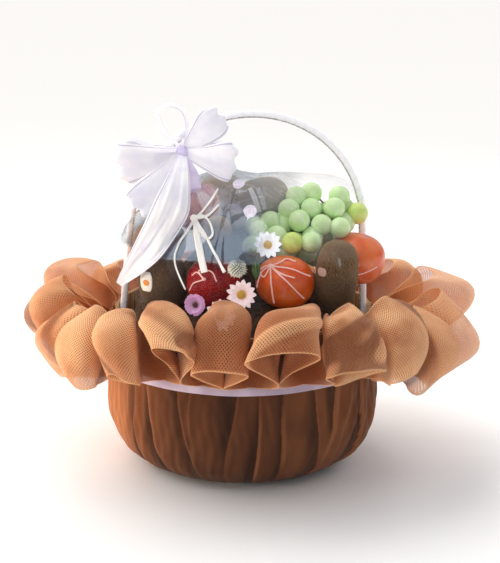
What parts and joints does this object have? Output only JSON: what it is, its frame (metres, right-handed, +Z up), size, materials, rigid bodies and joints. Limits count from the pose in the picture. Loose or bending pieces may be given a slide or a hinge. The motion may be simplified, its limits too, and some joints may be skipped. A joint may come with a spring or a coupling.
{
  "type": "fruit gift basket",
  "caption": "Round gauze-wrapped gift basket with a ruffled rim and hoop handle, heaped with whole fruit and flowers under clear film, with a satin bow.",
  "frame": {"origin": "middle of the bowl's flat underside", "axes": "+Z up, the front with the bow and flowers faces -Y, the handle spans X"},
  "size_m": [0.5652, 0.5414, 0.4481],
  "materials": {
    "wicker": "woven wicker, matt",
    "packing_paper": "crumpled dark packing paper",
    "orange_gauze": "burnt-orange open gauze",
    "lilac_trim": "pale lilac satin trim",
    "white_ribbon": "white satin ribbon wound on wire",
    "white_satin": "white satin with a lilac sheen",
    "clear_film": "clear cellophane",
    "persimmon_skin": "smooth waxy fruit skin",
    "kiwi_skin": "brown downy fruit skin",
    "red_skin": "dark red waxy fruit skin",
    "rosy_skin": "rosy waxy fruit skin",
    "yellow_skin": "yellow-orange fruit skin",
    "golden_skin": "russet golden fruit skin",
    "dusky_skin": "dusky purple bloomed skin",
    "grape_skin": "pale green translucent grape skin",
    "white_petal": "white petals, yellow centre",
    "blush_petal": "blush petals, tan centre",
    "lilac_petal": "lilac petals",
    "lime_petal": "green-white pompon petals",
    "leaf_green": "green leaf",
    "pink_twine": "thin pink twine",
    "label_white": "plain white fruit label"
  },
  "bodies": {
    "root": {"basket": "wicker", "packing": "packing_paper", "gauze_wrap": "orange_gauze", "gauze_ruffle": "orange_gauze", "rim_band": "lilac_trim", "handle": "white_ribbon", "fruit_ribbon": "white_ribbon", "rosette_upper": "white_ribbon", "rosette_lower": "white_ribbon", "satin_bow": "white_satin", "cream_bow": "white_satin", "film_cover": "clear_film", "persimmon_front": "persimmon_skin", "persimmon_right": "persimmon_skin", "kiwi_left": "kiwi_skin", "kiwi_right": "kiwi_skin", "kiwi_top": "kiwi_skin", "red_fruit": "red_skin", "rosy_fruit": "rosy_skin", "yellow_fruit": "yellow_skin", "golden_fruit": "golden_skin", "small_fruit": "golden_skin", "dusky_fruit": "dusky_skin", "grape_bunch": "grape_skin", "daisy_white": "white_petal", "daisy_blush": "blush_petal", "daisy_low": "blush_petal", "lilac_flower": "lilac_petal", "pompon": "lime_petal", "leaf": "leaf_green", "twine_front": "pink_twine", "twine_right": "pink_twine", "twine_left": "pink_twine", "label_left": "label_white", "label_right": "label_white"}
  },
  "joints": []
}
